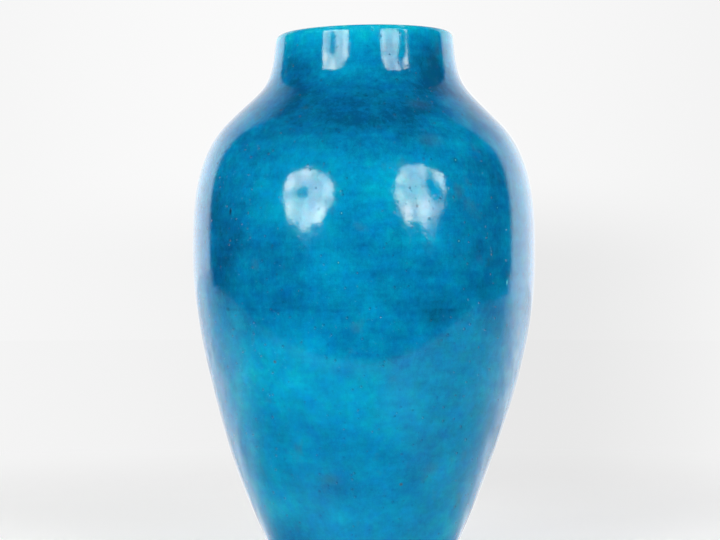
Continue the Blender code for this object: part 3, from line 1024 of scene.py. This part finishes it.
# %% The glossy glaze as one function for both coats
def glaze_material(name, depth_socket, outside):
    material, tree, shader = new_material(name)
    place = place_on_piece(tree)

    def cloud(size, flatness, detail):
        inputs = {"Place": place, "Size": size, "Flatness": flatness, "Detail": detail}
        return use_group(tree, clouds, inputs)["Value"]

    def crackle(cell, line, stretch, bend):
        inputs = {"Place": place, "Cell": cell, "Line": line, "Stretch": stretch, "Bend": bend}
        return use_group(tree, craze, inputs)

    def dotted(cell, radius, least):
        inputs = {"Place": place, "Cell": cell, "Radius": radius, "Least": least}
        return use_group(tree, pinholes, inputs)

    hue = cloud(*HUE_CLOUD)
    upright_craze, level_craze, wide_craze = (crackle(*c) for c in (UPRIGHT_CRAZE, LEVEL_CRAZE, WIDE_CRAZE))
    broken = remap(tree, hue, *BROKEN_BY_HUE, smooth=True)
    long_cracks = product(tree, wide_craze["Line"], broken)
    fine_cracks = calculate(tree, "MAXIMUM", upright_craze["Line"], level_craze["Line"])
    cracks = calculate(tree, "MAXIMUM", fine_cracks, long_cracks)
    specks, holes = dotted(*SPECKS), dotted(*HOLES)
    pits = calculate(tree, "MAXIMUM", specks["Hole"], holes["Hole"])

    pattern = weighted_sum(
        tree,
        0.0,
        *((cloud(*shape), weight) for *shape, weight in THICKNESS_CLOUDS.values()),
        (upright_craze["Tone"], FINE_TONE),
        (level_craze["Tone"], FINE_TONE),
        (wide_craze["Tone"], WIDE_TONE),
        (fine_cracks, CRACK_DEEPER),
        (long_cracks, CRACK_DEEPER * LONG_CRACK_SHARE),
    )
    liveliness = remap(tree, parts_of(tree, place)["Z"], *PATTERN_HEIGHTS, *PATTERN_SHARES)
    depth = weighted_sum(tree, depth_socket(tree), (pattern, liveliness), (holes["Ring"], RING_DEEPER))
    green = product(tree, hue, HUE_SWING)
    iron = remap(tree, cloud(*IRON_CLOUD), *IRON_FADE, 0.0, IRON_MOST)
    # The pits are darkened with painted shade, not dirt.
    dirt_and_shade = weighted_sum(tree, 0.0, (specks["Hole"], SPECK_SHADE), (holes["Hole"], HOLE_SHADE))
    if outside:
        # Pale marks: painted glints in the middles of specks, and a small scar.
        pale = marks_of(tree, place, "pale")
        # The dark line is a painted reflection of the table's edge.
        depth = weighted_sum(tree, depth, (painted_table_edge_line(tree, place), LINE_DEEPER), (pale, -1.0))
        iron = calculate(tree, "MAXIMUM", iron, marks_of(tree, place, "brown"))
        # Dark marks: dirt, and painted shade round the specks.
        dirt_and_shade = calculate(tree, "MAXIMUM", dirt_and_shade, marks_of(tree, place, "dark"))
    coat_inputs = {"Depth": depth, "Green": green, "Iron": iron, "Dirt and shade": dirt_and_shade}
    tree.links.new(use_group(tree, coat_colour, coat_inputs)["Color"], shader.inputs["Base Color"])
    tree.links.new(remap(tree, pits, 0.0, 1.0, GLOSS, PIT_ROUGHNESS), shader.inputs["Roughness"])

    height = weighted_sum(
        tree,
        0.0,
        (node_noise(tree, place, WAVE_SIZE, detail=0.0), WAVE_HEIGHT),
        (node_noise(tree, place, SWELL_SIZE, detail=0.0), SWELL_HEIGHT),
        (dotted(*PEEL)["Dome"], PEEL_HEIGHT),
        (cracks, -CRACK_HEIGHT),
        (specks["Hole"], -SPECK_DEPTH),
        (holes["Hole"], -HOLE_DEPTH),
        (holes["Ring"], RING_HEIGHT),
    )
    bump = add(tree, "ShaderNodeBump", {"Height": height, "Distance": 1.0, "Strength": 1.0})
    if outside:
        tree.links.new(pressed_neck(tree, place), bump.inputs["Normal"])
    tree.links.new(bump.outputs["Normal"], shader.inputs["Normal"])
    shader.inputs["IOR"].default_value = GLAZE_IOR
    return material


# %% The two coats
RIM_LINING, FLOOR_LINING = 0.20, 0.85


def painted_depth_and_side_light(tree):
    return add(tree, "ShaderNodeAttribute", attribute_name="coat_depth_and_side_light").outputs["Fac"]


def lining_depth(tree):
    """Thin at the rim and deeper towards the floor, where the poured glaze gathered."""
    height = parts_of(tree, place_on_piece(tree))["Z"]
    return remap(tree, height, RIM_HEIGHT, GLAZED_FLOOR, RIM_LINING, FLOOR_LINING)


outer_glaze.data.materials.append(glaze_material("turquoise_glaze", painted_depth_and_side_light, True))
inner_glaze.data.materials.append(glaze_material("turquoise_lining", lining_depth, False))
print("glaze materials made")

# %% [markdown]
# Bare fired clay is matt, sandy and a little uneven in colour: the fire browns its edges, and iron
# leaves small dark specks. The slip is the same clay thinned with water, so both finishes use one
# group for the grain, and only their colours differ.

# %% Clay grain
IRON_SPECK = (0.06, 0.035, 0.02, 1)
PALE_SAND = (0.85, 0.80, 0.72, 1)
SAND_SIZE = 0.0007
TOAST_SIZE = 0.022
SPECKS_PER_METRE = 420.0

grain_sockets = {"Place": VECTOR, "Base": COLOUR, "Toasted": COLOUR}
grain, given, result = new_group("Clay grain", grain_sockets, {"Color": COLOUR, "Height": NUMBER})
sand = node_noise(grain, given["Place"], SAND_SIZE, detail=3.0)
toast = node_noise(grain, given["Place"], TOAST_SIZE, detail=4.0)
toasted = mix_colours(grain, remap(grain, toast, 0.45, 0.75, 0.0, 0.55), given["Base"], given["Toasted"])
cell_inputs = {"Vector": given["Place"], "Scale": SPECKS_PER_METRE}
specks = add(grain, "ShaderNodeTexVoronoi", cell_inputs).outputs["Distance"]
speckled = mix_colours(grain, remap(grain, specks, 0.10, 0.16, 0.8, 0.0), toasted, IRON_SPECK)
grained = mix_colours(grain, remap(grain, sand, 0.3, 0.7, 0.0, 0.35), speckled, PALE_SAND)
grain.links.new(grained, result["Color"])
grain.links.new(sand, result["Height"])


# %% Clay and slip
def clay_material(name, base, toasted_colour, roughness):
    material, tree, shader = new_material(name)
    colours = {"Base": (*base, 1), "Toasted": (*toasted_colour, 1)}
    look = use_group(tree, grain, {"Place": place_on_piece(tree), **colours})
    tree.links.new(look["Color"], shader.inputs["Base Color"])
    uneven = remap(tree, look["Height"], 0.0, 1.0, roughness - 0.1, roughness + 0.1)
    tree.links.new(uneven, shader.inputs["Roughness"])
    bump = add(tree, "ShaderNodeBump", {"Height": look["Height"], "Distance": 0.0001, "Strength": 1.0})
    tree.links.new(bump.outputs["Normal"], shader.inputs["Normal"])
    return material


bare_clay = clay_material("bare_clay", (0.62, 0.50, 0.36), (0.36, 0.20, 0.10), 0.85)
luting_slip = clay_material("luting_slip", (0.60, 0.50, 0.38), (0.45, 0.30, 0.20), 0.88)
for piece in clay_pieces.values():
    piece.data.materials.append(bare_clay)
for piece in slip_pieces.values():
    piece.data.materials.append(luting_slip)
print("pieces of clay", len(clay_pieces), "and of slip", len(slip_pieces))

# %% [markdown]
# A glossy pot shows the room it stands in. Here that is a white table that ends a foot in front of
# the pot, a white backdrop behind, two umbrella lights in front and a dark room around. The camera
# itself sees only a pale floor and a pale background.

# %% The camera
VIEW_DISTANCE = 1.19
EYE_HEIGHT = 0.180
EYE_ASIDE = -0.00219
camera_data = bpy.data.cameras.new("camera")
camera_data.lens = 100
camera_data.sensor_width = 36
camera = add_to_scene("camera", camera_data)
camera.location = (EYE_ASIDE, -VIEW_DISTANCE, EYE_HEIGHT)
camera.rotation_euler = (RIGHT_ANGLE, 0, 0)
bpy.context.scene.camera = camera
bpy.context.scene.view_settings.view_transform = "Standard"

# %% [markdown]
# The background that the camera sees is a sweep of pale paper. It is brightest to the left above the
# pot, and the pot throws a faint soft shadow on it, mostly to the right. One group gives its level,
# from how far aside the camera looks and from how high, so that floor and world agree.

# %% The pale sweep
HIGH_LEVELS = [(0.0, 0.920), (0.25, 0.948), (0.45, 0.955), (0.70, 0.936), (1.0, 0.902)]
LOW_LEVELS = [(0.0, 0.918), (0.25, 0.896), (0.50, 0.860), (0.78, 0.822), (0.88, 0.850), (1.0, 0.900)]
HALF_VIEW = 0.18

sweep, given, result = new_group("Pale sweep", {"Aside": NUMBER, "High": NUMBER}, {"Level": NUMBER})
across = remap(sweep, given["Aside"], -HALF_VIEW, HALF_VIEW)
high_level = follow_curve(sweep, across, HIGH_LEVELS)
low_level = follow_curve(sweep, across, LOW_LEVELS)
sweep.links.new(mix(sweep, given["High"], low_level, high_level), result["Level"])

# %% [markdown]
# The floor is a wide disc. For the camera it is a pale surface that takes the pot's soft shadow and
# fades to the tone of the sweep further out. For the glaze, which mirrors it, it is a table top that
# is bright behind the pot, brighter on the right than on the left, and dim in front. It ends at a
# curved edge that catches the light.

# %% The floor as the camera sees it
FLOOR_REACH = 4.0
FLOOR_DROP = 0.0001
FLOOR_SHARE = 0.985
NEAR_LIFT = 0.30
NEAREST = 0.3
SHADOW_REACH = (0.15, 0.85)
FLOOR_GREY = (0.8, 0.8, 0.8, 1)

floor_mesh = bpy.data.meshes.new("floor")
disc = bmesh.new()
bmesh.ops.create_circle(disc, cap_ends=True, radius=FLOOR_REACH, segments=96)
for corner in disc.verts:
    corner.co.z = -FLOOR_DROP
disc.to_mesh(floor_mesh)
disc.free()
floor = add_to_scene("floor", floor_mesh)

floor_material, tree, plain_shader = new_material("pale_floor")
tree.nodes.remove(plain_shader)
place = place_on_piece(tree)
parts = parts_of(tree, place)
rays = add(tree, "ShaderNodeLightPath").outputs
away = combine(tree, "LENGTH", place)


def glowing(strength):
    return add(tree, "ShaderNodeEmission", {"Strength": strength}).outputs[0]


def mixed(factor, first, second):
    return add(tree, "ShaderNodeMixShader", {0: factor, 1: first, 2: second}).outputs[0]


before_eye = calculate(tree, "MAXIMUM", calculate(tree, "ADD", parts["Y"], VIEW_DISTANCE), NEAREST)
aside = calculate(tree, "DIVIDE", parts["X"], before_eye)
paper = product(tree, use_group(tree, sweep, {"Aside": aside, "High": 0.0})["Level"], FLOOR_SHARE)
lit = add(tree, "ShaderNodeBsdfDiffuse", {"Color": FLOOR_GREY}).outputs[0]
lift = glowing(product(tree, rays["Is Camera Ray"], paper, NEAR_LIFT))
near = add(tree, "ShaderNodeAddShader", {0: lit, 1: lift}).outputs[0]
far = mixed(rays["Is Camera Ray"], lit, glowing(paper))
seen = mixed(remap(tree, away, *SHADOW_REACH, smooth=True), near, far)

# %% Where the mirrored table is white
# Places of the two arcs of its edge on the axis, and how they bend on the left and on the right
TABLE_EDGE, TABLE_BENDS = -0.34, (0.44, 0.17)
SIDE_EDGE, SIDE_BENDS = -0.60, (0.60, 0.51)
LEFT_TO_RIGHT = (-0.1, 0.1)
EDGE_BLUR = 0.01
BEHIND_FADE = (0.38, 0.50)
BEHIND_LEAN = 0.08


def edge_arc(on_axis, bends):
    bend = remap(tree, parts["X"], *LEFT_TO_RIGHT, *bends)
    return weighted_sum(tree, on_axis, (calculate(tree, "POWER", parts["X"], 2.0), bend))


edge = calculate(tree, "MAXIMUM", edge_arc(TABLE_EDGE, TABLE_BENDS), edge_arc(SIDE_EDGE, SIDE_BENDS))
from_edge = calculate(tree, "SUBTRACT", parts["Y"], edge)
past_edge = remap(tree, from_edge, -EDGE_BLUR, EDGE_BLUR, smooth=True)
never_zero = calculate(tree, "MAXIMUM", away, 0.001)
share_behind = calculate(tree, "DIVIDE", parts["Y"], never_zero)
share_aside = calculate(tree, "DIVIDE", parts["X"], never_zero)
leaning = weighted_sum(tree, share_behind, (share_aside, BEHIND_LEAN))
white_part = calculate(tree, "MAXIMUM", past_edge, remap(tree, leaning, *BEHIND_FADE, smooth=True))

# %% How brightly the mirrored table glows
# Shares of FLOOR_GLOW by direction, from 0 in front of the pot to 1 behind it
FLOOR_GLOW = 2.5
NEAR_GLOWS = [(0.0, 0.10), (0.40, 0.10), (0.50, 0.15), (0.60, 0.26), (0.70, 0.38), (0.80, 0.50), (1.0, 0.40)]
LEFT_GLOWS = [(0.0, 0.10), (0.62, 0.10), (0.73, 0.22), (0.80, 0.33), (0.86, 0.50), (0.93, 0.48), (1.0, 0.36)]
RIGHT_GLOWS = [(0.0, 0.10), (0.58, 0.12), (0.65, 0.32), (0.70, 0.52), (0.78, 0.77), (0.91, 0.58), (1.0, 0.36)]
LEFT_TO_RIGHT_SHARE = (-0.3, 0.3)
NEAR_TO_FAR = (0.45, 0.90)
FRONT_LEFT_SHARE = 0.25
FRONT_FADE_OUT = (-0.30, 0.05)
LEFT_FADE_OUT = (0.02, 0.10)
FOOT_FADE_IN = (0.12, 0.17)
EDGE_STRIP, STRIP_WIDTH = 0.22, 0.05
PATCHY_SIZE, PATCHY_SHARES = 0.10, (0.65, 1.35)
UNDER_POT = (0.03, -0.13, 0.0)
SHADE_REACH, SHADE_SHARE = (0.02, 0.09), 0.45

direction = remap(tree, share_behind, -1.0, 1.0)
rightward = remap(tree, share_aside, *LEFT_TO_RIGHT_SHARE, smooth=True)
near_glow, *far_glows = (follow_curve(tree, direction, g) for g in (NEAR_GLOWS, LEFT_GLOWS, RIGHT_GLOWS))
glow = mix(tree, remap(tree, away, *NEAR_TO_FAR), near_glow, mix(tree, rightward, *far_glows))

in_front = remap(tree, share_behind, *FRONT_FADE_OUT, 1.0, 0.0)
on_left = remap(tree, parts["X"], *LEFT_FADE_OUT, 1.0, 0.0)
front_left = product(tree, in_front, on_left, remap(tree, away, *FOOT_FADE_IN))
dimmed = product(tree, glow, remap(tree, front_left, 0.0, 1.0, 1.0, FRONT_LEFT_SHARE))
strip = remap(tree, from_edge, 0.0, STRIP_WIDTH, EDGE_STRIP, 0.0)
brightness = weighted_sum(tree, strip, (dimmed, FLOOR_GLOW))
patchy = remap(tree, node_noise(tree, place, PATCHY_SIZE, detail=3.0), 0.3, 0.7, *PATCHY_SHARES)
from_shade = combine(tree, "DISTANCE", place, UNDER_POT)
shade = remap(tree, from_shade, *SHADE_REACH, SHADE_SHARE, 1.0, smooth=True)
mirrored = glowing(product(tree, brightness, patchy, white_part, shade))
surface = mixed(rays["Is Glossy Ray"], seen, mirrored)
tree.links.new(surface, tree.nodes["Material Output"].inputs["Surface"])
floor_mesh.materials.append(floor_material)
print("floor of", FLOOR_REACH, "m")

# %% [markdown]
# The world has two faces. The camera sees the pale sweep. All other rays see the studio: white
# behind the pot up to about sixty degrees, a little less far on the left and higher up, fading
# upwards and towards the middle, and dark elsewhere. The edges of the white part show on the pot as
# the pale bands along both its sides.

# %% The world
EDGE_BEHIND = 0.504
EDGE_LEAN = 0.080
EDGE_HIGHER = 0.200
EDGE_TOP = 0.35
EDGE_SOFT = 0.045
BACKDROP_LEVEL = 1.86
BACKDROP_RIGHT = 0.10
BACKDROP_FADE = (0.20, 0.80)
MIDDLE_SHARE = 0.42
MIDDLE_WIDTH = 0.134
ROOM_LEVEL = 0.008
HORIZON = (0.0, 0.05)

world = bpy.data.worlds.new("studio")
bpy.context.scene.world = world
world.use_nodes = True
tree = world.node_tree
background = tree.nodes["Background"]
parts = parts_of(tree, add(tree, "ShaderNodeTexCoord").outputs["Generated"])
rays = add(tree, "ShaderNodeLightPath").outputs
level = combine(tree, "LENGTH", vector_of(tree, parts["X"], parts["Y"]))
behind = calculate(tree, "DIVIDE", parts["Y"], level)
aside = calculate(tree, "DIVIDE", parts["X"], level)
upward = remap(tree, parts["Z"], 0.0, EDGE_TOP, 0.0, -EDGE_TOP * EDGE_HIGHER)
leaning = calculate(tree, "ADD", weighted_sum(tree, behind, (aside, EDGE_LEAN)), upward)
past_edge = calculate(tree, "SUBTRACT", leaning, EDGE_BEHIND)
backdrop = remap(tree, past_edge, -EDGE_SOFT, EDGE_SOFT, smooth=True)
low_enough = remap(tree, parts["Z"], *BACKDROP_FADE, 1.0, 0.0)
from_middle = calculate(tree, "SQRT", remap(tree, behind, 1.0, 1.0 - MIDDLE_WIDTH))
middle = remap(tree, from_middle, 0.0, 1.0, MIDDLE_SHARE, 1.0)
strength = weighted_sum(tree, BACKDROP_LEVEL, (aside, BACKDROP_RIGHT))
studio = weighted_sum(tree, ROOM_LEVEL, (product(tree, strength, backdrop, low_enough), middle))
high = remap(tree, parts["Z"], *HORIZON, smooth=True)
paper = use_group(tree, sweep, {"Aside": parts["X"], "High": high})["Level"]
shown = mix(tree, rays["Is Camera Ray"], studio, paper)
tree.links.new(shown, background.inputs["Strength"])
background.inputs["Color"].default_value = (1, 1, 1, 1)
print("world ready")

# %% [markdown]
# The two lamps in front are photographer's umbrellas, and the glaze mirrors them. Each is an area
# light whose emission is masked to the outline of the cloth, from rib tip to rib tip with the cloth
# drawn in between. The flash head stands before it as a dark hub, and the cloth glows more in some
# places than in others. All places are given in shares of the lamp's distance, so that they read as
# slopes seen from the pot.

# %% The shapes of the umbrellas
# Tips in thousandths. A spot has its place, its radius and how much more it glows than plain cloth
LIGHT_DISTANCE = 1.25
LIGHT_TARGET = Vector((0, 0, 0.215))
HALF_LAMP = 0.37
LAMPS = {
    "left": {
        "azimuth": -38.5,
        "elevation": 17.0,
        "level": 8.3,
        "tips": [
            (-233, 139), (1, 213), (241, 138), (328, 67), (343, -79),
            (206, -219), (33, -266), (-177, -212), (-267, -76), (-262, 44),
        ],
        "hub": (-0.024, -0.030),
        "hub_size": (0.072, 0.054),
        "hub_turn": 0.0,
        "hub_dark": 0.04,
        "spots": [
            (-0.20, 0.05, 0.06, 1.0), (-0.03, 0.17, 0.07, 0.8), (-0.19, -0.15, 0.06, 0.9),
            (0.03, -0.20, 0.08, 0.5), (0.19, -0.18, 0.06, 1.1), (0.25, 0.02, 0.06, 0.6),
            (-0.17, -0.03, 0.05, -0.4),
        ],
    },
    "right": {
        "azimuth": 39.5,
        "elevation": 19.0,
        "level": 7.2,
        "tips": [
            (-187, 218), (57, 211), (126, 162), (262, 110), (276, -63), (224, -172), (143, -221),
            (90, -330), (-30, -290), (-65, -252), (-260, -255), (-322, -165), (-363, -75), (-306, 80),
        ],
        "hub": (0.118, -0.035),
        "hub_size": (0.135, 0.078),
        "hub_turn": -0.80,
        "hub_dark": 0.0,
        "spots": [
            (-0.21, -0.19, 0.06, 1.3), (-0.02, -0.18, 0.07, 1.3), (-0.25, 0.09, 0.06, 0.7),
            (-0.28, -0.06, 0.04, 0.6), (-0.24, 0.00, 0.04, -0.4), (0.22, 0.07, 0.06, 0.8),
            (0.02, 0.16, 0.06, 0.4), (0.10, 0.10, 0.04, -0.7), (0.24, -0.11, 0.05, -0.4),
            (-0.12, -0.20, 0.03, -0.4), (0.04, -0.29, 0.07, -0.7),
        ],
    },
}
CLOTH_LEVEL = 0.75
CLOTH_SWING = 0.25
LEAST_GLOW = 0.1
FOLD_SIZE = 0.08
HEM_WIDTH = 0.008
HUB_EDGE = (0.75, 1.15)
DRAWN_IN = 0.97


def reach_by_angle(tips):
    """Points for a curve: the reach of the cloth, as a share of HALF_LAMP, over the angle from 0 to 1."""
    marks = []
    for (u, v), (next_u, next_v) in zip(tips, tips[1:] + tips[:1]):
        marks.append((u / 1000, v / 1000))
        marks.append(((u + next_u) / 2000 * DRAWN_IN, (v + next_v) / 2000 * DRAWN_IN))
    curve = sorted((math.atan2(v, u) / math.tau + 0.5, math.hypot(u, v) / HALF_LAMP) for u, v in marks)
    (first_angle, first_reach), (last_angle, last_reach) = curve[0], curve[-1]
    share = (1 - last_angle) / (1 - last_angle + first_angle)
    joint = last_reach + share * (first_reach - last_reach)
    return [(0.0, joint), *curve, (1.0, joint)]


def cloth_glow(tree, shape):
    """How brightly each place of the lamp glows, 1 being plain cloth."""
    side = add(tree, "ShaderNodeNewGeometry").outputs["Parametric"]
    centred = combine(tree, "SUBTRACT", side, (0.5, 0.5, 0.0))
    place = combine(tree, "MULTIPLY", centred, (2 * HALF_LAMP, 2 * HALF_LAMP, 0.0))
    parts = parts_of(tree, place)
    angle = remap(tree, calculate(tree, "ARCTAN2", parts["Y"], parts["X"]), -math.pi, math.pi)
    edge = product(tree, follow_curve(tree, angle, reach_by_angle(shape["tips"]), "VECTOR"), HALF_LAMP)
    inside_edge = calculate(tree, "SUBTRACT", edge, combine(tree, "LENGTH", place))
    cloth = remap(tree, inside_edge, 0.0, HEM_WIDTH, smooth=True)
    from_hub = combine(tree, "SUBTRACT", place, (*shape["hub"], 0.0))
    turn_inputs = {"Vector": from_hub, "Angle": -shape["hub_turn"]}
    turned_back = add(tree, "ShaderNodeVectorRotate", turn_inputs, rotation_type="Z_AXIS").outputs["Vector"]
    hub_reach = combine(tree, "LENGTH", combine(tree, "DIVIDE", turned_back, (*shape["hub_size"], 1.0)))
    clear = remap(tree, hub_reach, *HUB_EDGE, shape["hub_dark"], 1.0, smooth=True)
    folds = node_noise(tree, place, FOLD_SIZE, detail=3.0)
    glow = remap(tree, folds, 0.3, 0.7, CLOTH_LEVEL - CLOTH_SWING, CLOTH_LEVEL + CLOTH_SWING)
    for u, v, radius, more in shape["spots"]:
        from_spot = combine(tree, "DISTANCE", place, (u, v, 0.0))
        near = remap(tree, from_spot, 0.0, 2 * radius, 1.0, 0.0, smooth=True)
        glow = weighted_sum(tree, glow, (near, more))
    return product(tree, calculate(tree, "MAXIMUM", glow, LEAST_GLOW), cloth, clear)


# %% [markdown]
# Each umbrella is there twice. One lamp is mirrored in the glaze and has a warm tone. Its twin is
# bluish, lights the pot and isn't mirrored. Two round lamps fill the shadows at the sides. All of
# them stand at one distance and face the pot.

# %% The lights
CLOTH_COLOUR = (1.0, 1.0, 0.84)
FILL_COLOUR = (0.60, 0.61, 1.0)
FILL_LEVEL = 4.3
SOFT_SIZE = 0.90
SIDE_AZIMUTH = 100
SIDE_ELEVATION = 48
LEFT_SIDE_LEVEL = 2.4
RIGHT_SIDE_LEVEL = 2.8


def area_lamp(name, form, size, level, azimuth, elevation):
    data = bpy.data.lights.new(name, "AREA")
    data.shape = form
    data.size = size
    area = data.size ** 2 if form == "SQUARE" else math.pi * (data.size / 2) ** 2
    data.energy = level * math.pi * area
    lamp = add_to_scene(name, data)
    azimuth, elevation = math.radians(azimuth), math.radians(elevation)
    level_part = math.cos(elevation)
    away = Vector((math.sin(azimuth) * level_part, -math.cos(azimuth) * level_part, math.sin(elevation)))
    lamp.location = LIGHT_TARGET + away * LIGHT_DISTANCE
    lamp.rotation_euler = away.to_track_quat("Z", "Y").to_euler()
    lamp.visible_camera = False
    lamp.visible_glossy = False
    return lamp


def umbrella(name, shape, level, colour, mirrored):
    size = 2 * LIGHT_DISTANCE * HALF_LAMP
    lamp = area_lamp(name, "SQUARE", size, level, shape["azimuth"], shape["elevation"])
    lamp.visible_glossy = mirrored
    lamp.data.color = colour
    lamp.data.use_nodes = True
    tree = lamp.data.node_tree
    tree.links.new(cloth_glow(tree, shape), tree.nodes["Emission"].inputs["Strength"])


for side, shape in LAMPS.items():
    umbrella(side + "_umbrella", shape, shape["level"], CLOTH_COLOUR, True)
    umbrella(side + "_fill", shape, FILL_LEVEL, FILL_COLOUR, False)
area_lamp("left_side_fill", "DISK", SOFT_SIZE, LEFT_SIDE_LEVEL, -SIDE_AZIMUTH, SIDE_ELEVATION)
area_lamp("right_side_fill", "DISK", SOFT_SIZE, RIGHT_SIDE_LEVEL, SIDE_AZIMUTH, SIDE_ELEVATION)
print("lights ready")
